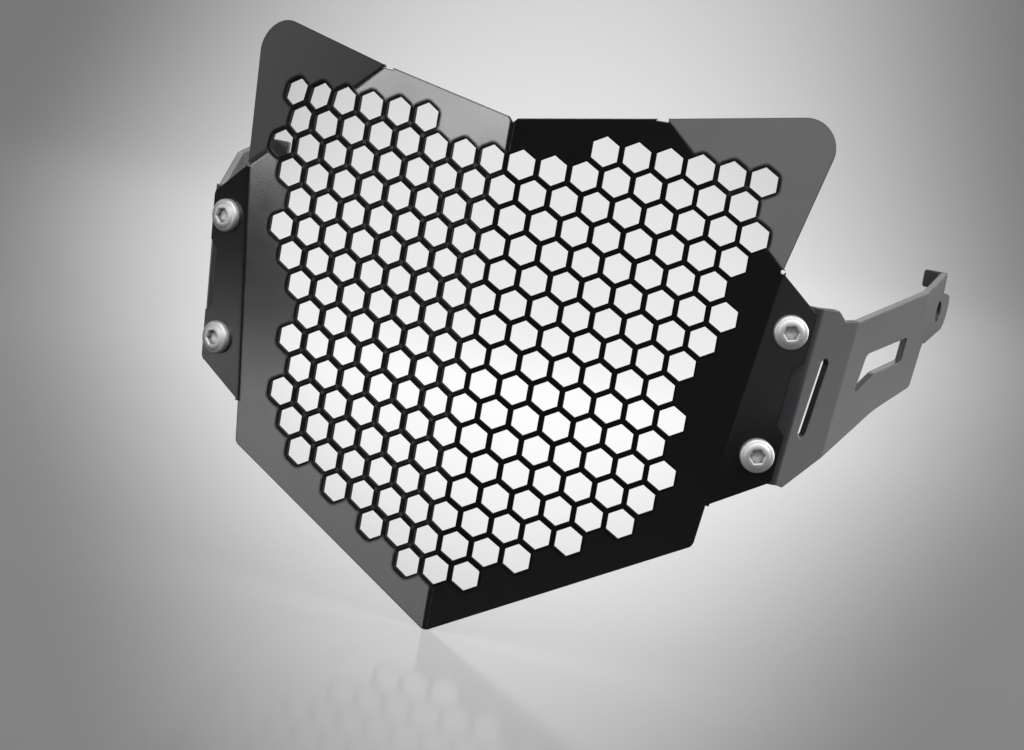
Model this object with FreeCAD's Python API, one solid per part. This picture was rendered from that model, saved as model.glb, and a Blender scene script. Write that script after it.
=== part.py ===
import FreeCAD, Part
import math
import os
from FreeCAD import Placement, Rotation, Vector

# Headlight guard: a folded aluminium grille plate bolted to two folded side brackets.
# Millimetres. X runs across the guard, +Y to its back, +Z up. The front faces -Y.
# The guard is the same on both sides of the middle plane X = 0.
# Each sheet is drawn flat as (across, up) on its front face and folded along straight lines.

# Sheet of the grille plate
plate_thickness = 2.0
crease_angle = 8.5
crease_radius = 12.5
wing_angle = 17.5
wing_radius = 8.0
flange_angle = 13.0
flange_radius = 12.0

# Outline of one half of the plate, flat, from the crease outwards
top_at_crease = 96.0
tip_at_crease = -100.0
wing_fold_across = 56.0
wing_fold_up = 106.0
side_corner_across = 108.5
side_corner_up = 58.5
bend_foot_across = 96.0
bend_foot_up = -32.0
low_corner_inset = 2.0
low_corner_drop = 16.0
wing_tip_reach = 15.5
wing_tip_rise = 14.0
wing_tip_radius = 11.0
low_corner_radius = 3.0
tip_radius = 4.0
relief_width = 6.4
relief_depth = 1.7
side_relief_radius = 0.8

# Side flange of the plate, flat, measured from the side corner and from the foot of its bend
flange_top_reach = 15.5
flange_top_drop = 13.5
flange_foot_reach = 22.5
flange_foot_rise = 12.5
flange_corner_radius = 2.5
recess_depth = 3.5
recess_margin = 18.5

# Hexagonal grille: point-up hexagons in level rows
hex_pitch = 12.0
hex_across_flats = 10.0
top_row_up = 90.0
grille_margin = 9.0
top_row_skip_count = 5
row_reach = (16, 15, 16, 15, 14, 15, 14, 13, 12, 13, 12, 13, 12, 11, 8, 5, 2)

# Fasteners, M6
bolt_diameter = 6.0
bolt_clearance = 0.6
bolt_edge_distance = 7.8
bolt_end_distance = 8.6
head_diameter = 12.8
head_height = 3.3
head_chamfer = 1.1
socket_across_flats = 5.0
socket_depth = 2.0
thread_past_nut = 1.5
washer_diameter = 12.0
washer_thickness = 1.6
washer_clearance = 0.4
nut_across_flats = 10.0
nut_hex_height = 4.6
nut_height = 6.4
nut_collar_diameter = 9.2
insert_diameter = 7.8
insert_height = 1.4
insert_lip = 0.4
insert_mouth = 7.0
screw_chamfer = 0.6

# Side bracket, flat, measured outwards from the flange edge and up from the flange foot
bracket_thickness = 2.5
leg_width = 14.0
leg_top_rise = 2.2
leg_foot_drop = 1.2
near_fold = 1.0
near_angle = 45.0
near_radius = 6.5
near_top_across = 13.2
near_top_radius = 2.0
foot_across = 7.5
foot_drop = 2.0
foot_radius = 1.5
fold_notch_lead = 7.8
fold_notch_depth = 0.6
notch_radius = 0.8

# Arm of the bracket, flat, beyond the arm fold
arm_fold = 27.0
arm_angle = 9.0
arm_radius = 10.5
arm_foot = 10.5
arm_top = 63.6
arm_length = 60.5
arm_belly_across = 32.6
arm_belly = 29.0
arm_belly_radius = 60.0
arm_heel_margin = 2.2
arm_heel = 38.4
arm_heel_radius = 2.2

# Slot of the near panel
slot_across = 11.5
slot_centre_up = 33.0
slot_length = 31.0
slot_width = 4.6
slot_tilt = 5.0

# Window of the arm: its front and knee from the arm fold, its rear from the ear fold
window_front = 11.8
window_lean = 2.4
window_front_low = 35.2
window_front_high = 51.2
window_rear_margin = 15.9
window_rear_low = 48.6
window_rear_high = 58.2
window_knee = 24.8
window_knee_up = 43.6
window_radius = 1.0
window_knee_radius = 6.0
window_shoulder_radius = 3.0

# Ear of the bracket, upright and parallel to the middle plane
ear_foot = 55.5
ear_front_height = 21.1
ear_radius = 10.5
ear_length = 37.0
ear_foot_rise = 5.5
ear_nose_radius = 10.0
ear_shoulder_up = 17.6
ear_shoulder_radius = 3.6
ear_relief_radius = 1.2
ear_hole_diameter = 8.5
ear_hole_along = 18.0
ear_hole_up = 12.0

# Stop lip on the ear, turned square towards the middle
lip_fold = 26.5
lip_angle = 90.0
lip_radius = 4.0
lip_length = 9.5
lip_foot = 20.2
lip_height = 6.8
lip_slit = 0.8
lip_corner_radius = 1.0

OVERCUT = 20.0


def flat_vector(point, depth=0.0):
    """A point (across, up) of a flat sheet at a depth behind its front face."""
    return Vector(point[0], depth, point[1])


def rounded_wire(corners):
    """Closed wire through corners (across, up, radius), each rounded by its radius."""
    edges = []
    joins = []
    count = len(corners)
    for index, (across, up, radius) in enumerate(corners):
        here = Vector(across, 0, up)
        before = flat_vector(corners[index - 1][:2])
        after = flat_vector(corners[(index + 1) % count][:2])
        to_before = (before - here).normalize()
        to_after = (after - here).normalize()
        if radius <= 0:
            joins.append((here, here, None))
            continue
        half_angle = to_before.getAngle(to_after) / 2
        run = radius / math.tan(half_angle)
        middle = (to_before + to_after).normalize()
        centre = here + middle * (radius / math.sin(half_angle))
        joins.append((here + to_before * run, here + to_after * run, centre - middle * radius))
    for index, (arrive, leave, crown) in enumerate(joins):
        if crown is not None:
            edges.append(Part.Arc(arrive, crown, leave).toShape())
        following = joins[(index + 1) % count][0]
        if (following - leave).Length > 1e-6:
            edges.append(Part.LineSegment(leave, following).toShape())
    return Part.Wire(edges)


def sheet(corners, thickness):
    """Flat sheet with its front face at depth 0."""
    return Part.Face(rounded_wire(corners)).extrude(Vector(0, thickness, 0))


def cutter(corners, thickness):
    """Prism that passes right through a flat sheet."""
    prism = Part.Face(rounded_wire(corners)).extrude(Vector(0, thickness + 2 * OVERCUT, 0))
    prism.translate(Vector(0, -OVERCUT, 0))
    return prism


def sharp(*points):
    """Corners without rounding."""
    return [(across, up, 0.0) for across, up in points]


def setback(radius, angle):
    """Distance from a sharp fold line to where the rounded bend starts, on the front face."""
    return radius * math.tan(math.radians(angle) / 2)


def fold_side(start, end, outward):
    """Unit vector square to a fold line, in the sheet, on the side of the point outward."""
    along = (flat_vector(end) - flat_vector(start)).normalize()
    side = Vector(0, 1, 0).cross(along)
    if side.dot(flat_vector(outward) - flat_vector(start)) < 0:
        side = side * -1
    return side


def fold_placement(start, end, outward, angle):
    """Placement that folds what lies beyond the line start-end to the back by an angle."""
    along = (flat_vector(end) - flat_vector(start)).normalize()
    side = fold_side(start, end, outward)
    turned = Rotation(along, angle).multVec(side)
    signed = angle if turned.y > 0 else -angle
    return Placement(Vector(), Rotation(along, signed), flat_vector(start))


def bend(start, end, outward, angle, radius, thickness):
    """Rounded bend along the line start-end, drawn in the frame of the sheet before the line."""
    side = fold_side(start, end, outward)
    back = side * -setback(radius, angle)
    corners = [
        flat_vector(start) + back,
        flat_vector(end) + back,
        flat_vector(end, thickness) + back,
        flat_vector(start, thickness) + back,
    ]
    section = Part.Face(Part.makePolygon(corners + corners[:1]))
    along = (flat_vector(end) - flat_vector(start)).normalize()
    turned = Rotation(along, angle).multVec(side)
    signed = angle if turned.y > 0 else -angle
    axis_point = flat_vector(start, radius) + back
    return section.revolve(axis_point, along, signed)


def fold_strip(start, end, outward, angle, radius, thickness):
    """Strip on both sides of a fold line that the rounded bend takes the place of."""
    side = fold_side(start, end, outward) * setback(radius, angle)
    corners = [
        flat_vector(start) - side,
        flat_vector(end) - side,
        flat_vector(end) + side,
        flat_vector(start) + side,
    ]
    strip = Part.Face(Part.makePolygon(corners + corners[:1]))
    strip = strip.extrude(Vector(0, thickness + 2 * OVERCUT, 0))
    strip.translate(Vector(0, -OVERCUT, 0))
    return strip


def placed(shape, placement):
    """Copy of a shape moved by a placement."""
    moved = shape.copy()
    moved.Placement = placement.multiply(moved.Placement)
    return moved


def mirrored(shape):
    """Copy of a shape on the other side of the middle plane."""
    return shape.mirror(Vector(), Vector(1, 0, 0))


def joined(shapes):
    """One solid made of pieces that share faces."""
    return shapes[0].fuse(shapes[1:]).removeSplitter()


CREASE_TOP = (0.0, top_at_crease)
TIP = (0.0, tip_at_crease)
WING_FOLD = (wing_fold_across, wing_fold_up)
SIDE_CORNER = (side_corner_across, side_corner_up)
BEND_FOOT = (bend_foot_across, bend_foot_up)
LOW_CORNER = (bend_foot_across - low_corner_inset, bend_foot_up - low_corner_drop)
WING_TIP = (side_corner_across + wing_tip_reach, wing_fold_up + wing_tip_rise)
FLANGE_TOP = (side_corner_across + flange_top_reach, side_corner_up - flange_top_drop)
FLANGE_FOOT = (bend_foot_across + flange_foot_reach, bend_foot_up + flange_foot_rise)

panel_place = Placement(Vector(), Rotation(Vector(0, 0, 1), crease_angle))
wing_place = panel_place.multiply(fold_placement(WING_FOLD, SIDE_CORNER, WING_TIP, wing_angle))
flange_place = panel_place.multiply(fold_placement(BEND_FOOT, SIDE_CORNER, FLANGE_TOP, flange_angle))


def along_edge(start, end, distance, inset=0.0):
    """Point at a distance along start-end and inset to the crease side, as (across, up)."""
    run = math.hypot(end[0] - start[0], end[1] - start[1])
    step = ((end[0] - start[0]) / run, (end[1] - start[1]) / run)
    return (
        start[0] + step[0] * distance - step[1] * inset,
        start[1] + step[1] * distance + step[0] * inset,
    )


flange_edge_length = math.hypot(FLANGE_TOP[0] - FLANGE_FOOT[0], FLANGE_TOP[1] - FLANGE_FOOT[1])
bolt_heights = (bolt_end_distance, flange_edge_length - bolt_end_distance)


def panel_blank():
    """Middle panel of the right half, from the crease to the two folds."""
    corners = [
        (*TIP, 0.0),
        (*LOW_CORNER, low_corner_radius),
        (*BEND_FOOT, 0.0),
        (*SIDE_CORNER, 0.0),
        (*WING_FOLD, 0.0),
        (*CREASE_TOP, 0.0),
    ]
    panel = sheet(corners, plate_thickness)
    panel = panel.cut(fold_strip(CREASE_TOP, TIP, LOW_CORNER, crease_angle, crease_radius, plate_thickness))
    panel = panel.cut(fold_strip(WING_FOLD, SIDE_CORNER, WING_TIP, wing_angle, wing_radius, plate_thickness))
    return panel.cut(
        fold_strip(BEND_FOOT, SIDE_CORNER, FLANGE_TOP, flange_angle, flange_radius, plate_thickness)
    )


def wing_blank():
    """Upper wing beyond the slanted fold, with its large rounded corner."""
    corners = [(*WING_FOLD, 0.0), (*SIDE_CORNER, 0.0), (*WING_TIP, wing_tip_radius)]
    wing = sheet(corners, plate_thickness)
    return wing.cut(fold_strip(WING_FOLD, SIDE_CORNER, WING_TIP, wing_angle, wing_radius, plate_thickness))


def flange_blank():
    """Side flange with a shallow recess in its outer edge between the two bolts."""
    recess_low = recess_margin
    recess_high = flange_edge_length - recess_margin
    corners = [
        (*BEND_FOOT, 0.0),
        (*FLANGE_FOOT, flange_corner_radius),
        (*along_edge(FLANGE_FOOT, FLANGE_TOP, recess_low), 0.0),
        (*along_edge(FLANGE_FOOT, FLANGE_TOP, recess_low + recess_depth, recess_depth), 0.0),
        (*along_edge(FLANGE_FOOT, FLANGE_TOP, recess_high - recess_depth, recess_depth), 0.0),
        (*along_edge(FLANGE_FOOT, FLANGE_TOP, recess_high), 0.0),
        (*FLANGE_TOP, flange_corner_radius),
        (*SIDE_CORNER, 0.0),
    ]
    flange = sheet(corners, plate_thickness)
    flange = flange.cut(
        fold_strip(BEND_FOOT, SIDE_CORNER, FLANGE_TOP, flange_angle, flange_radius, plate_thickness)
    )
    for height in bolt_heights:
        across, up = along_edge(FLANGE_FOOT, FLANGE_TOP, height, bolt_edge_distance)
        flange = flange.cut(round_hole(across, up, bolt_diameter + bolt_clearance))
    return flange


def round_hole(across, up, diameter):
    """Drill through a flat sheet."""
    return Part.makeCylinder(
        diameter / 2, 2 * OVERCUT, Vector(across, -OVERCUT, up), Vector(0, 1, 0)
    )


def relief(point, inward, width, depth):
    """V cut into an edge at the end of a fold, in the frame of the unfolded sheet."""
    step = Vector(inward[0] - point[0], 0, inward[1] - point[1]).normalize()
    side = Vector(0, 1, 0).cross(step)
    here = flat_vector(point)
    mouth = here - step * depth
    apex = here + step * depth
    corners = [mouth - side * width, mouth + side * width, apex]
    prism = Part.Face(Part.makePolygon(corners + corners[:1])).extrude(Vector(0, 2 * OVERCUT, 0))
    prism.translate(Vector(0, -OVERCUT, 0))
    return prism


def tip_rounding():
    """What is cut off the lower tip to round it."""
    slope = math.atan2(LOW_CORNER[1] - tip_at_crease, LOW_CORNER[0])
    run = tip_radius * math.tan(slope)
    reach = run * math.cos(slope)
    rise = run * math.sin(slope)
    crown = tip_radius / math.cos(slope) - tip_radius
    left = Vector(-reach, 0, tip_at_crease + rise)
    right = Vector(reach, 0, tip_at_crease + rise)
    low = tip_at_crease - OVERCUT
    edges = [
        Part.Arc(left, Vector(0, 0, tip_at_crease + crown), right).toShape(),
        Part.LineSegment(right, Vector(reach, 0, low)).toShape(),
        Part.LineSegment(Vector(reach, 0, low), Vector(-reach, 0, low)).toShape(),
        Part.LineSegment(Vector(-reach, 0, low), left).toShape(),
    ]
    prism = Part.Face(Part.Wire(edges)).extrude(Vector(0, 2 * OVERCUT, 0))
    prism.translate(Vector(0, -OVERCUT, 0))
    return prism


def edge_distance(point, start, end):
    """Distance of a flat point from a line of the outline, positive on the crease side."""
    run = math.hypot(end[0] - start[0], end[1] - start[1])
    across = (end[0] - start[0]) / run
    up = (end[1] - start[1]) / run
    return across * (point[1] - start[1]) - up * (point[0] - start[0])


def inside_grille(point):
    """True where a hexagon keeps its margin from every edge of the half plate."""
    edges = [
        (TIP, LOW_CORNER),
        (BEND_FOOT, SIDE_CORNER),
        (WING_TIP, WING_FOLD),
        (WING_FOLD, CREASE_TOP),
    ]
    if point[1] > side_corner_up:
        edges[1] = (SIDE_CORNER, WING_TIP)
    return all(edge_distance(point, *edge) > grille_margin for edge in edges)


def hexagons():
    """Centres of the hexagons of the right half, those on the crease included."""
    row_step = hex_pitch * math.sqrt(3) / 2
    for row, reach in enumerate(row_reach):
        first = top_row_skip_count + 1 if row == 0 else reach % 2
        for half_steps in range(first, reach + 1, 2):
            point = (half_steps * hex_pitch / 2, top_row_up - row * row_step)
            if inside_grille(point):
                yield point


def hexagon_prism(point):
    """Hexagonal punch with a point up, through the sheet at a flat point."""
    corner = hex_across_flats / math.sqrt(3)
    corners = []
    for step in range(6):
        turn = math.radians(90 + 60 * step)
        corners.append(Vector(corner * math.cos(turn), -OVERCUT, corner * math.sin(turn)))
    prism = Part.Face(Part.makePolygon(corners + corners[:1])).extrude(Vector(0, 2 * OVERCUT, 0))
    prism.translate(flat_vector(point))
    return prism


def punches():
    """Every hexagonal punch, square to the sheet where it goes through."""
    tools = []
    half_wing = fold_placement(WING_FOLD, SIDE_CORNER, WING_TIP, wing_angle / 2)
    corner = hex_across_flats / math.sqrt(3)
    for point in hexagons():
        prism = hexagon_prism(point)
        if point[0] == 0:
            tools.append(prism)
            continue
        past_fold = -edge_distance(point, SIDE_CORNER, WING_FOLD)
        if past_fold > corner:
            prism = placed(prism, wing_place)
        elif past_fold > -corner:
            prism = placed(prism, panel_place.multiply(half_wing))
        else:
            prism = placed(prism, panel_place)
        tools.append(prism)
        tools.append(mirrored(prism))
    return tools


def guard_plate():
    """The whole plate: two panels, two wings and two flanges folded from one sheet."""
    wing_line = (WING_FOLD, SIDE_CORNER, WING_TIP)
    flange_line = (BEND_FOOT, SIDE_CORNER, FLANGE_TOP)
    half = [
        placed(panel_blank(), panel_place),
        placed(wing_blank(), wing_place),
        placed(flange_blank(), flange_place),
        placed(bend(*wing_line, wing_angle, wing_radius, plate_thickness), panel_place),
        placed(bend(*flange_line, flange_angle, flange_radius, plate_thickness), panel_place),
    ]
    across_crease = Placement(Vector(), Rotation(Vector(0, 0, 1), -crease_angle))
    middle = bend(CREASE_TOP, TIP, LOW_CORNER, 2 * crease_angle, crease_radius, plate_thickness)
    plate = joined(half + [mirrored(piece) for piece in half] + [placed(middle, across_crease)])
    cuts = [
        relief(CREASE_TOP, TIP, relief_width / 2, relief_depth),
        tip_rounding(),
    ]
    side_cuts = [
        relief(WING_FOLD, SIDE_CORNER, relief_width / 2, relief_depth),
        round_hole(*SIDE_CORNER, 2 * side_relief_radius),
    ]
    for cut in side_cuts:
        cuts.append(placed(cut, panel_place))
        cuts.append(mirrored(placed(cut, panel_place)))
    return plate.cut(cuts + punches())


flange_lean = math.degrees(
    math.atan2(FLANGE_TOP[0] - FLANGE_FOOT[0], FLANGE_TOP[1] - FLANGE_FOOT[1])
)
# The bracket's flat frame: on the back of the flange, X square to the flange's outer edge
bracket_place = flange_place.multiply(
    Placement(flat_vector(FLANGE_FOOT, plate_thickness), Rotation(Vector(0, 1, 0), flange_lean))
)
leg_foot = -leg_foot_drop
leg_top = flange_edge_length + leg_top_rise
near_line = ((near_fold, leg_foot), (near_fold, leg_top), (arm_fold, leg_top))
arm_line = ((arm_fold, arm_foot), (arm_fold, arm_top), (2 * arm_fold, arm_top))
near_place = bracket_place.multiply(fold_placement(*near_line, near_angle))
arm_place = near_place.multiply(fold_placement(*arm_line, arm_angle))
near_setback = setback(near_radius, near_angle)
arm_setback = setback(arm_radius, arm_angle)
# Lower edge of the bracket just before and just after the arm fold
near_edge_slope = (arm_foot + foot_drop) / (arm_fold - foot_across)
arm_edge_slope = (arm_belly - arm_foot) / arm_belly_across
BEFORE_ARM_FOLD = (arm_fold - arm_setback, arm_foot - near_edge_slope * arm_setback)
AFTER_ARM_FOLD = (arm_fold + arm_setback, arm_foot + arm_edge_slope * arm_setback)

# The ear's crease runs in the arm's face and keeps one distance from the middle plane
arm_normal = arm_place.Rotation.multVec(Vector(0, 1, 0))
crease_step = arm_normal.cross(Vector(1, 0, 0))
crease_rise = crease_step * (ear_front_height / crease_step.z)
flat_rise = arm_place.Rotation.inverted().multVec(crease_rise)
EAR_LOW = (arm_fold + arm_length, ear_foot)
EAR_HIGH = (EAR_LOW[0] + flat_rise.x, EAR_LOW[1] + flat_rise.z)
EAR_BEYOND = (EAR_LOW[0] + ear_length, EAR_LOW[1])
ear_angle = math.degrees(arm_normal.getAngle(Vector(-1, 0, 0)))
ear_setback = setback(ear_radius, ear_angle)
# The ear's own frame: X to the back, Z up, its outer face at depth 0
ear_place = Placement(arm_place.multVec(flat_vector(EAR_LOW)), Rotation(Vector(0, 0, 1), 90))
ear_lean = -crease_rise.y
lip_line = ((lip_fold, lip_foot), (lip_fold, lip_foot + lip_height), (2 * lip_fold, lip_foot))
lip_place = ear_place.multiply(fold_placement(*lip_line, lip_angle))


def leg_blank():
    """Leg of the bracket that lies behind the flange and takes the two bolts."""
    corners = [
        (-leg_width, leg_foot, flange_corner_radius),
        (near_fold - near_setback, leg_foot, 0.0),
        (near_fold - near_setback, leg_top, 0.0),
        (-leg_width, leg_top, flange_corner_radius),
    ]
    leg = sheet(corners, bracket_thickness)
    for height in bolt_heights:
        leg = leg.cut(round_hole(-bolt_edge_distance, height, bolt_diameter + bolt_clearance))
    return leg


def near_blank():
    """Panel between the flange and the arm, with a long slot and a notch before the arm fold."""
    corners = [
        (near_fold + near_setback, leg_foot, 0.0),
        (foot_across, -foot_drop, foot_radius),
        (*BEFORE_ARM_FOLD, 0.0),
        (arm_fold - arm_setback, arm_top, 0.0),
        (arm_fold - fold_notch_lead, arm_top - fold_notch_depth, notch_radius),
        (near_top_across, leg_top, near_top_radius),
        (near_fold + near_setback, leg_top, 0.0),
    ]
    panel = sheet(corners, bracket_thickness)
    return panel.cut(slot_cutter())


def slot_cutter():
    """Round-ended slot, tilted a little from the near fold."""
    reach = slot_length / 2
    radius = slot_width / 2
    straight = reach - radius
    edges = [
        Part.LineSegment(Vector(radius, 0, -straight), Vector(radius, 0, straight)).toShape(),
        Part.Arc(Vector(radius, 0, straight), Vector(0, 0, reach), Vector(-radius, 0, straight)).toShape(),
        Part.LineSegment(Vector(-radius, 0, straight), Vector(-radius, 0, -straight)).toShape(),
        Part.Arc(Vector(-radius, 0, -straight), Vector(0, 0, -reach), Vector(radius, 0, -straight)).toShape(),
    ]
    slot = Part.Face(Part.Wire(edges)).extrude(Vector(0, 2 * OVERCUT, 0))
    slot.translate(Vector(0, -OVERCUT, 0))
    middle = flat_vector((slot_across, slot_centre_up))
    return placed(slot, Placement(middle, Rotation(Vector(0, 1, 0), slot_tilt)))


def arm_bend():
    """Rounded arm fold, its lower end cut to the slope of the bracket's lower edge."""
    start = (arm_fold, BEFORE_ARM_FOLD[1])
    strip = bend(start, arm_line[1], arm_line[2], arm_angle, arm_radius, bracket_thickness)
    far_side = BEFORE_ARM_FOLD[0] + arm_radius * math.sin(math.radians(arm_angle))
    kept = sharp(
        BEFORE_ARM_FOLD,
        (far_side, AFTER_ARM_FOLD[1]),
        (far_side, arm_top + OVERCUT),
        (BEFORE_ARM_FOLD[0], arm_top + OVERCUT),
    )
    return strip.common(cutter(kept, bracket_thickness))


def arm_blank():
    """Long arm that runs back to the ear, with an open window."""
    crease_side = fold_side(EAR_LOW, EAR_HIGH, EAR_BEYOND) * ear_setback
    low = flat_vector(EAR_LOW) - crease_side
    high = flat_vector(EAR_HIGH) - crease_side
    corners = [
        (*AFTER_ARM_FOLD, 0.0),
        (arm_fold + arm_belly_across, arm_belly, arm_belly_radius),
        (arm_fold + arm_length - arm_heel_margin, arm_heel, arm_heel_radius),
        (low.x, low.z, 0.0),
        (high.x, high.z, 0.0),
        (arm_fold + arm_setback, arm_top, 0.0),
    ]
    arm = sheet(corners, bracket_thickness)
    window_rear = arm_fold + arm_length - window_rear_margin
    window = [
        (arm_fold + window_front, window_front_low, window_radius),
        (arm_fold + window_knee, window_knee_up, window_knee_radius),
        (window_rear, window_rear_low, window_radius),
        (window_rear, window_rear_high, window_radius),
        (arm_fold + window_front + window_lean, window_front_high, window_shoulder_radius),
    ]
    return arm.cut(cutter(window, bracket_thickness))


def ear_blank():
    """Ear with a round nose, its bolt hole and the root of the stop lip."""
    crease_side = fold_side((0, 0), (-ear_lean, ear_front_height), (ear_length, 0)) * ear_setback
    high = Vector(-ear_lean, 0, ear_front_height) + crease_side
    lip_root = lip_fold - lip_radius
    nose_top = lip_foot - lip_slit
    corners = [
        (crease_side.x, crease_side.z, 0.0),
        (ear_length, ear_foot_rise, ear_nose_radius),
        (ear_length, ear_shoulder_up, ear_shoulder_radius),
        (lip_root, nose_top, 0.0),
        (lip_root, lip_foot + lip_height, 0.0),
        (high.x, high.z, 0.0),
    ]
    ear = sheet(corners, bracket_thickness)
    return ear.cut(round_hole(ear_hole_along, ear_hole_up, ear_hole_diameter))


def lip_blank():
    """Stop lip, turned square to the ear towards the middle of the motorcycle."""
    corners = [
        (lip_fold + lip_radius, lip_foot, 0.0),
        (lip_fold + lip_length, lip_foot, lip_corner_radius),
        (lip_fold + lip_length, lip_foot + lip_height, lip_corner_radius),
        (lip_fold + lip_radius, lip_foot + lip_height, 0.0),
    ]
    return sheet(corners, bracket_thickness)


def bracket():
    """Right side bracket, folded from one sheet: leg, near panel, arm, ear and lip."""
    ear_line = (EAR_LOW, EAR_HIGH, EAR_BEYOND)
    pieces = [
        placed(leg_blank(), bracket_place),
        placed(bend(*near_line, near_angle, near_radius, bracket_thickness), bracket_place),
        placed(near_blank(), near_place),
        placed(arm_bend(), near_place),
        placed(arm_blank(), arm_place),
        placed(bend(*ear_line, ear_angle, ear_radius, bracket_thickness), arm_place),
        placed(ear_blank(), ear_place),
        placed(bend(*lip_line, lip_angle, lip_radius, bracket_thickness), ear_place),
        placed(lip_blank(), lip_place),
    ]
    folded = joined(pieces)
    return folded.cut(placed(round_hole(*EAR_LOW, 2 * ear_relief_radius), arm_place))


def turned(profile):
    """Solid turned about the depth axis from (radius, depth) corners with optional rounding."""
    wire = rounded_wire([(radius, depth, corner) for radius, depth, corner in profile])
    flat = Placement(Vector(), Rotation(Vector(1, 0, 0), -90))
    return placed(Part.Face(wire), flat).revolve(Vector(), Vector(0, 1, 0), 360)


def hex_prism(across_flats, start, length):
    """Hexagonal prism about the depth axis."""
    corner = across_flats / math.sqrt(3)
    corners = []
    for step in range(6):
        turn = math.radians(60 * step)
        corners.append(Vector(corner * math.cos(turn), start, corner * math.sin(turn)))
    return Part.Face(Part.makePolygon(corners + corners[:1])).extrude(Vector(0, length, 0))


grip = plate_thickness + bracket_thickness
nut_seat = grip + washer_thickness


def screw():
    """Low round-headed screw with a hexagonal socket, its head on the front of the flange."""
    tail = nut_seat + nut_height + thread_past_nut
    radius = bolt_diameter / 2
    profile = [
        (0.0, -head_height, 0.0),
        (head_diameter / 2 - head_chamfer, -head_height, 0.0),
        (head_diameter / 2, head_chamfer - head_height, 0.0),
        (head_diameter / 2, 0.0, 0.0),
        (radius, 0.0, 0.0),
        (radius, tail - screw_chamfer, 0.0),
        (radius - screw_chamfer, tail, 0.0),
        (0.0, tail, 0.0),
    ]
    return turned(profile).cut(hex_prism(socket_across_flats, -head_height, socket_depth))


def washer():
    """Flat washer between the bracket leg and the nut."""
    inner = (bolt_diameter + washer_clearance) / 2
    outer = washer_diameter / 2
    profile = [(inner, grip, 0.0), (outer, grip, 0.0), (outer, nut_seat, 0.0), (inner, nut_seat, 0.0)]
    return turned(profile)


def lock_nut():
    """Hexagon nut with a round collar that holds its insert."""
    bore = bolt_diameter / 2
    collar = nut_collar_diameter / 2
    top = nut_seat + nut_height
    pocket = top - insert_lip - insert_height
    block = hex_prism(nut_across_flats, nut_seat, nut_hex_height)
    ring = [(0.0, nut_seat, 0.0), (collar, nut_seat, 0.0), (collar, top, 0.0), (0.0, top, 0.0)]
    hollow = turned(
        [
            (0.0, nut_seat, 0.0),
            (bore, nut_seat, 0.0),
            (bore, pocket, 0.0),
            (insert_diameter / 2, pocket, 0.0),
            (insert_diameter / 2, pocket + insert_height, 0.0),
            (insert_mouth / 2, pocket + insert_height, 0.0),
            (insert_mouth / 2, top, 0.0),
            (0.0, top, 0.0),
        ]
    )
    return block.fuse(turned(ring)).cut(hollow)


def nylon_insert():
    """Locking ring inside the nut's collar."""
    bore = bolt_diameter / 2
    outer = insert_diameter / 2
    base = nut_seat + nut_height - insert_lip - insert_height
    profile = [(bore, base, 0.0), (outer, base, 0.0), (outer, base + insert_height, 0.0)]
    return turned(profile + [(bore, base + insert_height, 0.0)])


def bolt_places():
    """Frames of the two bolts of the right flange, on its front face, by name."""
    frames = {}
    for name, height in zip(("lower", "upper"), bolt_heights):
        point = along_edge(FLANGE_FOOT, FLANGE_TOP, height, bolt_edge_distance)
        frames[name] = flange_place.multiply(Placement(flat_vector(point), Rotation()))
    return frames


def fastener_nodes():
    """Screw, washer, nut and insert at each of the four bolts."""
    nodes = {}
    pieces = {
        "screw": screw(),
        "washer": washer(),
        "lock_nut": lock_nut(),
        "nylon_insert": nylon_insert(),
    }
    for level, frame in bolt_places().items():
        for kind, piece in pieces.items():
            right = placed(piece, frame)
            nodes[f"right_{level}_{kind}"] = right
            nodes[f"left_{level}_{kind}"] = mirrored(right)
    return nodes


def guard_nodes():
    """Every piece of the guard by name, with the origin in the middle of its overall box."""
    right = bracket()
    nodes = {
        "guard_plate": guard_plate(),
        "right_bracket": right,
        "left_bracket": mirrored(right),
    }
    nodes.update(fastener_nodes())
    box = FreeCAD.BoundBox()
    for shape in nodes.values():
        box.add(shape.optimalBoundingBox(False, False))
    for shape in nodes.values():
        shape.translate(box.Center * -1)
    return nodes


if __name__ == "__main__":
    os.makedirs("parts", exist_ok=True)
    for name, shape in guard_nodes().items():
        shape.exportStep(f"parts/{name}.step")
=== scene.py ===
import math

import bmesh
import bpy
from mathutils import Matrix, Vector


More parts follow.
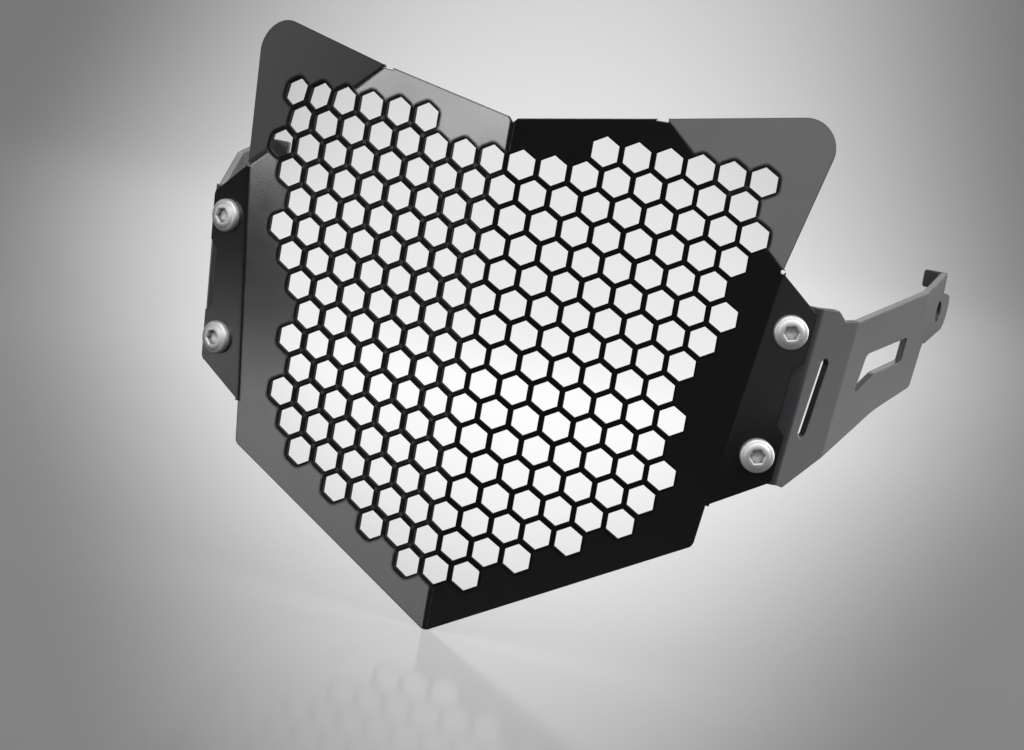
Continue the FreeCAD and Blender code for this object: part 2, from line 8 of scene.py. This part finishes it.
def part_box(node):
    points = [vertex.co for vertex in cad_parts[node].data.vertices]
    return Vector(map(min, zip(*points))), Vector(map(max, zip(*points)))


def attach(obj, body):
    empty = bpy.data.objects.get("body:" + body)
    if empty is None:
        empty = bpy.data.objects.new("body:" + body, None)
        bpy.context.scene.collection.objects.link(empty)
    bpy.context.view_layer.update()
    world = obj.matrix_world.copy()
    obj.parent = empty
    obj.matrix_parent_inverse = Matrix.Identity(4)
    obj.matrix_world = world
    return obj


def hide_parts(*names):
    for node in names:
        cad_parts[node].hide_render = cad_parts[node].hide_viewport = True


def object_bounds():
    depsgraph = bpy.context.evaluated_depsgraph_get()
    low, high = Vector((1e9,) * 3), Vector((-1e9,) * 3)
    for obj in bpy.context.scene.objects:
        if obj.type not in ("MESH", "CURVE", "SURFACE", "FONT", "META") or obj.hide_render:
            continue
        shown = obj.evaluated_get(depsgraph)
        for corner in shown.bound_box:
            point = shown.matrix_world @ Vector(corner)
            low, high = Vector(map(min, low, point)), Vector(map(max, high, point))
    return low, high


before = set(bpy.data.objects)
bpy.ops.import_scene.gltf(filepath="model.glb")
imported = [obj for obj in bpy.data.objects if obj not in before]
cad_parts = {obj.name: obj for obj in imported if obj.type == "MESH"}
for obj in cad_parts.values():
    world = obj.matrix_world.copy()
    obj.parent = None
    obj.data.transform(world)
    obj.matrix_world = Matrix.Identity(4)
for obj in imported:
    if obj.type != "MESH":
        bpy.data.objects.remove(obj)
cad_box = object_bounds()

# Grille plate
# One sheet of 2 mm aluminium, cut with its hexagons, folded and coated in semi-gloss black powder.
# The powder melts into a faint orange peel and lies thin and dull on the rims of the hexagons, which are
# also painted a little darker as painted shade.
COAT_BLACK = (0.0038, 0.0038, 0.004, 1)
COAT_WORN = (0.0066, 0.0066, 0.007, 1)
COAT_RIM_PAINTED_SHADE = (0.0028, 0.0028, 0.003, 1)
COAT_ROUGHNESS = (0.1, 0.16)
COAT_SHINE = 0.9
RIM_ROUGHNESS = 0.5
RIM_SHINE = 0.1
# How far a spot looks into the metal for a rim, less than the sheet's 2 mm, and the shares of
# solid metal there between which a flat face turns into a rim
RIM_REACH = 0.0019
RIM_SHARE = (0.96, 0.78)
REACH_SAMPLES = 8
# Grains are counted in a metre, and depths and radii are metres
CLOUD_GRAIN = 26.0
CLOUD_DETAIL = 5.0
CLOUD_SPREAD = (0.35, 0.65)
PEEL_GRAIN = 1500.0
PEEL_DETAIL = 2.0
PEEL_DEPTH = 0.00002
PEEL_STRENGTH = 0.5
CUT_EDGE_RADIUS = 0.0005
COAT_EDGE_SAMPLES = 6
# The hexagons lie inside three straight lines on each side of the crease, each with a slope and a
# start in metres: one below the top edge, one beside the flange and one above the foot
FIELD_TOP = (0.165, 0.084)
FIELD_SIDE = (0.2, 0.09)
FIELD_FOOT = (-0.559, 0.103)


def new_finish(name):
    """A new material: itself, its nodes, its shader and a function that adds a node."""
    material = bpy.data.materials.new(name)
    material.use_nodes = True
    tree = material.node_tree
    shader = tree.nodes["Principled BSDF"]

    def add(kind, inputs=None, **settings):
        """Adds a node and gives its output, or all of them where it has several."""
        node = tree.nodes.new(kind)
        for key, value in settings.items():
            setattr(node, key, value)
        for socket, source in (inputs or {}).items():
            if isinstance(source, bpy.types.NodeSocket):
                tree.links.new(source, node.inputs[socket])
            else:
                node.inputs[socket].default_value = source
        live = [socket for socket in node.outputs if socket.enabled]
        return live[0] if len(live) == 1 else node.outputs

    return material, tree, shader, add


# Places of the two colours among the sockets of a Mix node
FIRST_COLOUR = 6
SECOND_COLOUR = 7


def blend_colours(add, amount, first, second):
    """Mixes two colours, or outputs that give a colour, by an amount."""
    return add(
        "ShaderNodeMix",
        {"Factor": amount, FIRST_COLOUR: first, SECOND_COLOUR: second},
        data_type="RGBA",
    )


def lay_finish(tree, shader, colour, roughness, bump):
    """Gives the shader what varies over the surface."""
    tree.links.new(colour, shader.inputs["Base Color"])
    tree.links.new(roughness, shader.inputs["Roughness"])
    tree.links.new(bump, shader.inputs["Normal"])


def grille_field(add, place):
    """1 inside the field of hexagons and 0 along the plate's free edges."""
    across, _, up = add("ShaderNodeSeparateXYZ", {"Vector": place})
    out = add("ShaderNodeMath", {0: across}, operation="ABSOLUTE")
    above = add("ShaderNodeMath", {0: up, 1: 0.0}, operation="MAXIMUM")
    top = add("ShaderNodeMath", {0: out, 1: FIELD_TOP[0], 2: FIELD_TOP[1]}, operation="MULTIPLY_ADD")
    top = add("ShaderNodeMath", {0: top, 1: up}, operation="SUBTRACT")
    side = add("ShaderNodeMath", {0: above, 1: FIELD_SIDE[0], 2: FIELD_SIDE[1]}, operation="MULTIPLY_ADD")
    side = add("ShaderNodeMath", {0: side, 1: out}, operation="SUBTRACT")
    foot = add("ShaderNodeMath", {0: out, 1: FIELD_FOOT[0], 2: FIELD_FOOT[1]}, operation="MULTIPLY_ADD")
    foot = add("ShaderNodeMath", {0: foot, 1: up}, operation="ADD")
    least = add("ShaderNodeMath", {0: top, 1: side}, operation="MINIMUM")
    least = add("ShaderNodeMath", {0: least, 1: foot}, operation="MINIMUM")
    return add("ShaderNodeMath", {0: least, 1: 0.0}, operation="GREATER_THAN")


def powder_coat(name, black, worn, roughness_range, edge_radius, rims=False):
    """Powder coat: orange peel, uneven gloss, rounded cut edges and, on the grille, dull rims darkened with
    painted shade.
    """
    material, tree, shader, add = new_finish(name)
    place = add("ShaderNodeTexCoord")["Object"]
    cloud = add("ShaderNodeTexNoise", {"Vector": place, "Scale": CLOUD_GRAIN, "Detail": CLOUD_DETAIL})["Fac"]
    peel = add("ShaderNodeTexNoise", {"Vector": place, "Scale": PEEL_GRAIN, "Detail": PEEL_DETAIL})["Fac"]
    colour = blend_colours(add, cloud, black, worn)
    roughness = add(
        "ShaderNodeMapRange",
        {
            "Value": cloud,
            "From Min": CLOUD_SPREAD[0],
            "From Max": CLOUD_SPREAD[1],
            "To Min": roughness_range[0],
            "To Max": roughness_range[1],
        },
    )
    if rims:
        metal = add(
            "ShaderNodeAmbientOcclusion",
            {"Distance": RIM_REACH},
            samples=REACH_SAMPLES,
            inside=True,
            only_local=True,
        )["AO"]
        rim = add(
            "ShaderNodeMapRange", {"Value": metal, "From Min": RIM_SHARE[0], "From Max": RIM_SHARE[1]}
        )
        rim = add("ShaderNodeMath", {0: rim, 1: grille_field(add, place)}, operation="MULTIPLY")
        # The rims' slightly darker colour is painted shade; their dullness below is the coat's own gloss
        colour = blend_colours(add, rim, colour, COAT_RIM_PAINTED_SHADE)
        roughness = add("ShaderNodeMix", {"Factor": rim, "A": roughness, "B": RIM_ROUGHNESS})
        shine = add("ShaderNodeMix", {"Factor": rim, "A": COAT_SHINE, "B": RIM_SHINE})
        tree.links.new(shine, shader.inputs["Specular IOR Level"])
    edge = add("ShaderNodeBevel", {"Radius": edge_radius}, samples=COAT_EDGE_SAMPLES)
    bump = add(
        "ShaderNodeBump",
        {"Height": peel, "Distance": PEEL_DEPTH, "Strength": PEEL_STRENGTH, "Normal": edge},
    )
    lay_finish(tree, shader, colour, roughness, bump)
    shader.inputs["Specular IOR Level"].default_value = COAT_SHINE
    return material


def dress(node, material):
    """Gives a carried-over node its finish."""
    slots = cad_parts[node].data.materials
    slots.clear()
    slots.append(material)


plate_coat = powder_coat(
    "plate_powder_coat", COAT_BLACK, COAT_WORN, COAT_ROUGHNESS, CUT_EDGE_RADIUS, rims=True
)
dress("guard_plate", plate_coat)

# Side brackets
# Folded from 2.5 mm aluminium and coated in a satin dark grey, a little bluer than the plate.
# Each leg is bolted behind a flange of the plate, and each arm runs back to an ear with a hole.
BRACKET_GREY = (0.034, 0.0345, 0.039, 1)
BRACKET_PALE = (0.047, 0.0475, 0.053, 1)
BRACKET_ROUGHNESS = (0.3, 0.38)
BRACKET_EDGE_RADIUS = 0.0006
bracket_coat = powder_coat(
    "bracket_powder_coat", BRACKET_GREY, BRACKET_PALE, BRACKET_ROUGHNESS, BRACKET_EDGE_RADIUS
)
for side in ("left", "right"):
    dress(f"{side}_bracket", bracket_coat)

# Washers and lock nuts
# Stainless steel, pressed and turned, then tumbled to a dull satin.
# A washer lies behind each bracket leg, and a hexagon lock nut clamps it.
SATIN_STEEL = (0.53, 0.54, 0.55, 1)
DULL_STEEL = (0.34, 0.34, 0.35, 1)
SATIN_ROUGHNESS = (0.3, 0.45)
SATIN_GRAIN = 5200.0
PATCH_GRAIN = 320.0
PATCH_DETAIL = 4.0
SPECK_DETAIL = 2.0
SPECK_DEPTH = 0.00002
SPECK_STRENGTH = 0.4
TURNED_EDGE_RADIUS = 0.0003
STEEL_EDGE_SAMPLES = 4
# How far a spot looks round itself for a recess, and the shares of open air there between which
# clean steel darkens to painted shade
RECESS_REACH = 0.0022
RECESS_SHARE = (0.85, 0.35)
RECESS_PAINTED_SHADE = (0.11, 0.11, 0.11, 1)


def steel(name, light, dark, roughness_range, grain):
    """Bare stainless steel with a fine tumbled grain, darker patches and painted shade in its recesses."""
    material, tree, shader, add = new_finish(name)
    place = add("ShaderNodeTexCoord")["Object"]
    patch = add("ShaderNodeTexNoise", {"Vector": place, "Scale": PATCH_GRAIN, "Detail": PATCH_DETAIL})["Fac"]
    speck = add("ShaderNodeTexNoise", {"Vector": place, "Scale": grain, "Detail": SPECK_DETAIL})["Fac"]
    clear = add(
        "ShaderNodeAmbientOcclusion", {"Distance": RECESS_REACH}, samples=REACH_SAMPLES, only_local=True
    )["AO"]
    recess_shade = add(
        "ShaderNodeMapRange", {"Value": clear, "From Min": RECESS_SHARE[0], "From Max": RECESS_SHARE[1]}
    )
    colour = blend_colours(add, patch, light, dark)
    # Recesses are darkened with painted shade
    colour = blend_colours(add, recess_shade, colour, RECESS_PAINTED_SHADE)
    roughness = add(
        "ShaderNodeMapRange", {"Value": speck, "To Min": roughness_range[0], "To Max": roughness_range[1]}
    )
    edge = add("ShaderNodeBevel", {"Radius": TURNED_EDGE_RADIUS}, samples=STEEL_EDGE_SAMPLES)
    bump = add(
        "ShaderNodeBump",
        {"Height": speck, "Distance": SPECK_DEPTH, "Strength": SPECK_STRENGTH, "Normal": edge},
    )
    lay_finish(tree, shader, colour, roughness, bump)
    shader.inputs["Metallic"].default_value = 1.0
    return material


satin_steel = steel("satin_stainless_steel", SATIN_STEEL, DULL_STEEL, SATIN_ROUGHNESS, SATIN_GRAIN)
BOLTS = [f"{side}_{level}" for side in ("left", "right") for level in ("upper", "lower")]
for bolt in BOLTS:
    dress(f"{bolt}_washer", satin_steel)
    dress(f"{bolt}_lock_nut", satin_steel)

# Nylon inserts
# The ring that each lock nut grips its screw with, in natural nylon: slightly milky, soft in gloss.
# It is pressed into the nut's collar and shows as a thin white ring round the screw's end.
NYLON_WHITE = (0.76, 0.78, 0.8, 1)
NYLON_MILKY = (0.62, 0.64, 0.66, 1)
NYLON_ROUGHNESS = (0.4, 0.6)
NYLON_GRAIN = 900.0
NYLON_DETAIL = 3.0
NYLON_DEPTH = 0.00004
NYLON_STRENGTH = 0.4


def nylon(name):
    """Natural nylon with a faint cloudiness."""
    material, tree, shader, add = new_finish(name)
    place = add("ShaderNodeTexCoord")["Object"]
    cloud = add("ShaderNodeTexNoise", {"Vector": place, "Scale": NYLON_GRAIN, "Detail": NYLON_DETAIL})["Fac"]
    colour = blend_colours(add, cloud, NYLON_WHITE, NYLON_MILKY)
    roughness = add(
        "ShaderNodeMapRange", {"Value": cloud, "To Min": NYLON_ROUGHNESS[0], "To Max": NYLON_ROUGHNESS[1]}
    )
    bump = add("ShaderNodeBump", {"Height": cloud, "Distance": NYLON_DEPTH, "Strength": NYLON_STRENGTH})
    lay_finish(tree, shader, colour, roughness, bump)
    return material


milky_nylon = nylon("milky_nylon")
for bolt in BOLTS:
    dress(f"{bolt}_nylon_insert", milky_nylon)

# Screws
# M6 stainless steel screws with a low round head and a hexagonal socket, turned bright.
# Their heads clamp the flange and the bracket leg against the washer and the nut.
BRIGHT_STEEL = (0.93, 0.93, 0.92, 1)
SHADED_STEEL = (0.74, 0.74, 0.74, 1)
BRIGHT_ROUGHNESS = (0.48, 0.64)
BRIGHT_GRAIN = 4200.0
# Sizes in metres, along the screw from the middle of the head's face
HEAD_RADIUS = 0.0064
HEAD_HEIGHT = 0.0033
HEAD_ROUNDING = 0.0011
CROWN_START = 0.0033
CROWN_DROP = 0.0007
SOCKET_FLATS = 0.005
SOCKET_DEPTH = 0.002
SOCKET_BEVEL = 0.0003
SOCKET_CONE = 0.0006
SOCKET_CENTRE = 0.0002
SHANK_RADIUS = 0.00297
THREAD_ROOT = 0.00255
THREAD_PITCH = 0.001
THREAD_START = 0.0085
END_CHAMFER = 0.0006
# The thread's flank rises this steeply out of a root this wide, in shares of the thread
THREAD_FLANK = 2.6
THREAD_FLAT = 0.25
CROWN_ROWS = 6
ROWS_PER_TURN = 8
RING_POINTS = 60
SHARP_DEGREES = 28


def round_row(radius):
    """A round row: the same radius in every direction."""
    return lambda turn: radius


def socket_row(flats):
    """A hexagonal row: its radius in a direction, from the width over its flats."""
    sector = math.radians(60)
    return lambda turn: flats / 2 / math.cos((turn + sector / 2) % sector - sector / 2)


def thread_row(along, limit):
    """A row cut through the thread, which winds round the screw, no wider than a limit."""

    def radius(turn):
        phase = (along / THREAD_PITCH - turn / (2 * math.pi)) % 1.0
        crest = min(1.0, max(0.0, abs(phase - 0.5) * THREAD_FLANK - THREAD_FLAT))
        return min(limit, THREAD_ROOT + (SHANK_RADIUS - THREAD_ROOT) * crest)

    return radius


def screw_rows(length):
    """Rows of the screw from the socket's floor round the head to the end: place and radius."""
    rows = [
        (SOCKET_DEPTH + SOCKET_CONE, round_row(SOCKET_CENTRE)),
        (SOCKET_DEPTH, socket_row(SOCKET_FLATS)),
        (SOCKET_BEVEL, socket_row(SOCKET_FLATS)),
        (0.0, socket_row(SOCKET_FLATS + 2 * SOCKET_BEVEL)),
    ]
    crown_end = HEAD_RADIUS - HEAD_ROUNDING
    for step in range(CROWN_ROWS + 1):
        share = step / CROWN_ROWS
        radius = CROWN_START + (crown_end - CROWN_START) * share
        rows.append((CROWN_DROP * share**2, round_row(radius)))
    for step in range(1, CROWN_ROWS + 1):
        swing = math.pi / 2 * step / CROWN_ROWS
        radius = crown_end + HEAD_ROUNDING * math.sin(swing)
        along = CROWN_DROP + HEAD_ROUNDING * (1 - math.cos(swing))
        rows.append((along, round_row(radius)))
    rows.append((HEAD_HEIGHT, round_row(HEAD_RADIUS)))
    rows.append((HEAD_HEIGHT, round_row(SHANK_RADIUS)))
    rows.append((THREAD_START, round_row(SHANK_RADIUS)))
    count = int((length - THREAD_START) / THREAD_PITCH * ROWS_PER_TURN)
    for step in range(1, count + 1):
        along = THREAD_START + (length - THREAD_START) * step / count
        limit = SHANK_RADIUS - max(0.0, along - length + END_CHAMFER)
        rows.append((along, thread_row(along, limit)))
    rows.append((length, round_row(THREAD_ROOT - END_CHAMFER)))
    return rows


def screw_piece(name, front, axis, length):
    """One screw as a mesh: front is the middle of the head's face, axis points to its end."""
    side = axis.orthogonal().normalized()
    other = axis.cross(side)
    mesh = bmesh.new()
    rings = []
    for along, radius in screw_rows(length):
        ring = []
        for point in range(RING_POINTS):
            turn = 2 * math.pi * point / RING_POINTS
            out = side * math.cos(turn) + other * math.sin(turn)
            ring.append(mesh.verts.new(front + axis * along + out * radius(turn)))
        rings.append(ring)
    for first, second in zip(rings, rings[1:]):
        for point in range(RING_POINTS):
            after = (point + 1) % RING_POINTS
            mesh.faces.new((first[point], first[after], second[after], second[point])).smooth = True
    mesh.faces.new(rings[0][::-1])
    mesh.faces.new(rings[-1])
    bmesh.ops.recalc_face_normals(mesh, faces=mesh.faces)
    data = bpy.data.meshes.new(name)
    mesh.to_mesh(data)
    mesh.free()
    data.set_sharp_from_angle(angle=math.radians(SHARP_DEGREES))
    piece = bpy.data.objects.new(name, data)
    bpy.context.scene.collection.objects.link(piece)
    return piece


def bolt_line(bolt):
    """Middle of the head's face, direction and length of a screw, from its solid and its washer."""
    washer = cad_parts[f"{bolt}_washer"].data
    axis = max(washer.polygons, key=lambda face: face.area).normal.copy()
    if axis.y < 0:
        axis.negate()
    low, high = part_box(f"{bolt}_washer")
    middle = (Vector(low) + Vector(high)) / 2
    reach = [(vertex.co - middle).dot(axis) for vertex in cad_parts[f"{bolt}_screw"].data.vertices]
    return middle + axis * min(reach), axis, max(reach) - min(reach)


bright_steel = steel("bright_stainless_steel", BRIGHT_STEEL, SHADED_STEEL, BRIGHT_ROUGHNESS, BRIGHT_GRAIN)
for bolt in BOLTS:
    screw = screw_piece(f"{bolt}_turned_screw", *bolt_line(bolt))
    screw.data.materials.append(bright_steel)
    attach(screw, "root")
    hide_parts(f"{bolt}_screw")

# Studio
# A pale paper floor under the tip of the plate that sweeps up behind it, in plain soft light.
# The panels lie where the facets of the guard, or the glaze of the floor, mirror them to the camera.
tip_level = cad_box[0][2]
# Turned by these degrees to lie square to the camera, with its other sizes in metres
STAGE_TURN = 17.1
SWEEP_FRONT = -0.6
SWEEP_DEPTH = 2.7
SWEEP_RADIUS = 1.0
SWEEP_STEPS = 40
SWEEP_HALF_WIDTH = 3.0
SWEEP_HEIGHT = 3.0
# The paper's colour is lit by the lamps in part, and glows by itself where the camera sees it
PAPER_WHITE = (0.93, 0.93, 0.93, 1)
# The grey is painted dimming round the pool of light
PAPER_PAINTED_DIM_GREY = (0.22, 0.22, 0.224, 1)
PAPER_DYE = 0.2
PAPER_GLOW = 0.7
PAPER_SHINE = 0.15
# A painted pool of light behind the guard: its middle and half depth in metres, a slope and start for its
# half width, and the shares of its size between which it fades to a painted darker grey
POOL_MIDDLE = 1.2
POOL_DEPTH = 1.9
POOL_WIDTH = (0.156, 0.232)
POOL_EDGE = (0.38, 1.05)
# The floor's gleam dulls from the first roughness to the second over this reach in metres
GLAZE_ROUGHNESS = (0.12, 0.75)
GLAZE_REACH = (0.6, 1.25)
# Gloss sees the paper's glow only behind the guard, from none to all between these depths
MIRROR_DEPTH = (0.1, 0.6)


def sweep():
    """Floor and backdrop as one sheet with a round sweep between them."""
    profile = [(SWEEP_FRONT, 0.0), (SWEEP_DEPTH - SWEEP_RADIUS, 0.0)]
    for step in range(1, SWEEP_STEPS + 1):
        turn = math.pi / 2 * step / SWEEP_STEPS
        depth = SWEEP_DEPTH - SWEEP_RADIUS + SWEEP_RADIUS * math.sin(turn)
        profile.append((depth, SWEEP_RADIUS * (1 - math.cos(turn))))
    profile.append((SWEEP_DEPTH, SWEEP_HEIGHT))
    mesh = bmesh.new()
    rows = []
    for depth, height in profile:
        rows.append([mesh.verts.new((x, depth, height)) for x in (-SWEEP_HALF_WIDTH, SWEEP_HALF_WIDTH)])
    for low, high in zip(rows, rows[1:]):
        mesh.faces.new((low[0], low[1], high[1], high[0])).smooth = True
    data = bpy.data.meshes.new("studio_sweep")
    mesh.to_mesh(data)
    mesh.free()
    stage = bpy.data.objects.new("studio_sweep", data)
    stage.location = (0.0, 0.0, tip_level)
    stage.rotation_euler = (0.0, 0.0, math.radians(STAGE_TURN))
    bpy.context.scene.collection.objects.link(stage)
    return stage


def paper():
    """Pale glazed paper with a painted pool of light behind the guard, fading to painted grey round it, and
    a mirror gleam under it.
    """
    material, tree, shader, add = new_finish("studio_paper")
    place = add("ShaderNodeTexCoord")["Object"]
    across, depth, _ = add("ShaderNodeSeparateXYZ", {"Vector": place})
    width = add("ShaderNodeMath", {0: depth, 1: POOL_WIDTH[0], 2: POOL_WIDTH[1]}, operation="MULTIPLY_ADD")
    aside = add("ShaderNodeMath", {0: across, 1: width}, operation="DIVIDE")
    beyond = add("ShaderNodeMath", {0: depth, 1: POOL_MIDDLE}, operation="SUBTRACT")
    beyond = add("ShaderNodeMath", {0: beyond, 1: POOL_DEPTH}, operation="DIVIDE")
    spot = add("ShaderNodeCombineXYZ", {"X": aside, "Y": beyond})
    away = add("ShaderNodeVectorMath", {0: spot}, operation="LENGTH")
    painted_falloff = add(
        "ShaderNodeMapRange",
        {"Value": away, "From Min": POOL_EDGE[0], "From Max": POOL_EDGE[1]},
        interpolation_type="SMOOTHSTEP",
    )
    # The painted pool of light and its falloff to grey go into both the glow and the dye
    colour = blend_colours(add, painted_falloff, PAPER_WHITE, PAPER_PAINTED_DIM_GREY)
    dye_with_painted_pool = add("ShaderNodeVectorMath", {0: colour, "Scale": PAPER_DYE}, operation="SCALE")
    tree.links.new(dye_with_painted_pool, shader.inputs["Base Color"])
    reach = add("ShaderNodeVectorMath", {0: place}, operation="LENGTH")
    glaze = add(
        "ShaderNodeMapRange",
        {
            "Value": reach,
            "From Min": GLAZE_REACH[0],
            "From Max": GLAZE_REACH[1],
            "To Min": GLAZE_ROUGHNESS[0],
            "To Max": GLAZE_ROUGHNESS[1],
        },
    )
    tree.links.new(glaze, shader.inputs["Roughness"])
    shader.inputs["Specular IOR Level"].default_value = PAPER_SHINE
    behind = add(
        "ShaderNodeMapRange", {"Value": depth, "From Min": MIRROR_DEPTH[0], "From Max": MIRROR_DEPTH[1]}
    )
    seen = add("ShaderNodeLightPath")
    mirrored = add("ShaderNodeMath", {0: seen["Is Glossy Ray"], 1: behind}, operation="MULTIPLY")
    shown = add("ShaderNodeMath", {0: seen["Is Camera Ray"], 1: mirrored}, operation="MAXIMUM")
    strength = add("ShaderNodeMath", {0: shown, 1: PAPER_GLOW}, operation="MULTIPLY")
    glow = add("ShaderNodeEmission", {"Color": colour, "Strength": strength})
    both = add("ShaderNodeAddShader", {0: glow, 1: shader.outputs["BSDF"]})
    tree.links.new(both, tree.nodes["Material Output"].inputs["Surface"])
    return material


floor = sweep()
floor.data.materials.append(paper())

PANEL_DISTANCE = 2.4


def hang_panel(name, azimuth, elevation, size, radiance, distance=PANEL_DISTANCE):
    """Soft panel seen from the guard at an azimuth from the front and an elevation, in degrees."""
    width, height = size
    light = bpy.data.lights.new(name, "AREA")
    light.shape = "RECTANGLE"
    light.size = width
    light.size_y = height
    light.energy = radiance * math.pi * width * height
    level = math.cos(math.radians(elevation))
    place = Vector(
        (
            distance * math.sin(math.radians(azimuth)) * level,
            -distance * math.cos(math.radians(azimuth)) * level,
            distance * math.sin(math.radians(elevation)),
        )
    )
    holder = bpy.data.objects.new(name, light)
    holder.location = place
    holder.rotation_euler = (-place).to_track_quat("-Z", "Y").to_euler()
    holder.visible_camera = False
    bpy.context.scene.collection.objects.link(holder)


hang_panel("left_front_panel", -35.6, 4.6, (0.62, 0.64), 6.2)
hang_panel("left_low_panel", -44, -11, (1.1, 0.5), 0.72)
hang_panel("left_strip_panel", -67, 6, (1.1, 0.26), 3.0)
hang_panel("left_side_panel", -69, 14, (0.6, 0.8), 0.7)
hang_panel("right_front_panel", 29, 24, (0.6, 0.6), 1.8)
hang_panel("right_low_panel", 32, -11, (0.7, 0.4), 0.25)
hang_panel("right_side_panel", 76, 36, (1.8, 1.2), 4.6)
hang_panel("right_rear_panel", 132, 10, (1.8, 0.8), 5.0, distance=2.2)
hang_panel("high_front_panel", -6, 30, (1.2, 0.7), 4.0)
hang_panel("top_panel", 0, 68, (2.2, 1.4), 2.4)
hang_panel("rear_panel", 195, 44, (2.0, 1.3), 2.0)

# The air lights the guard dimly from all round, and is mid grey where the camera sees past the sweep
AIR_WHITE = (0.9, 0.9, 0.9, 1)
AIR_STRENGTH = 0.06
AIR_GREY = (0.5, 0.5, 0.505, 1)


def studio_air():
    """World with one strength for light and another colour for the camera."""
    world = bpy.data.worlds.new("studio_air")
    world.use_nodes = True
    tree = world.node_tree
    dim = tree.nodes["Background"]
    dim.inputs["Color"].default_value = AIR_WHITE
    dim.inputs["Strength"].default_value = AIR_STRENGTH
    grey = tree.nodes.new("ShaderNodeBackground")
    grey.inputs["Color"].default_value = AIR_GREY
    choice = tree.nodes.new("ShaderNodeMixShader")
    rays = tree.nodes.new("ShaderNodeLightPath")
    tree.links.new(rays.outputs["Is Camera Ray"], choice.inputs[0])
    tree.links.new(dim.outputs[0], choice.inputs[1])
    tree.links.new(grey.outputs[0], choice.inputs[2])
    tree.links.new(choice.outputs[0], tree.nodes["World Output"].inputs["Surface"])
    return world


bpy.context.scene.world = studio_air()

# Camera
# A long lens a little above the guard and to its right, as the photograph was taken.
# It is tilted with the photograph, and its shift is the small one that the framing needs.
CAMERA_PLACE = (0.3959, -1.3057, 0.1633)
CAMERA_RIGHT = (0.9312, 0.3224, 0.1700)
CAMERA_UP = (-0.2027, 0.0705, 0.9767)
FOCAL_PIXELS = 3500.0
AXIS_PIXEL = (468.66, 372.01)
FRAME_PIXELS = (1024, 750)
SENSOR_WIDTH = 36.0
CLIP_END = 50.0
lens = bpy.data.cameras.new("photo_camera")
lens.sensor_fit = "HORIZONTAL"
lens.sensor_width = SENSOR_WIDTH
lens.lens = FOCAL_PIXELS / FRAME_PIXELS[0] * SENSOR_WIDTH
lens.shift_x = (FRAME_PIXELS[0] / 2 - AXIS_PIXEL[0]) / FRAME_PIXELS[0]
lens.shift_y = (AXIS_PIXEL[1] - FRAME_PIXELS[1] / 2) / FRAME_PIXELS[0]
lens.clip_end = CLIP_END
camera = bpy.data.objects.new("photo_camera", lens)
back = Vector(CAMERA_RIGHT).cross(Vector(CAMERA_UP))
turn = Matrix((CAMERA_RIGHT, CAMERA_UP, back)).transposed()
camera.matrix_world = Matrix.Translation(CAMERA_PLACE) @ turn.to_4x4()
bpy.context.scene.collection.objects.link(camera)
bpy.context.scene.camera = camera
bpy.context.scene.view_settings.view_transform = "Standard"
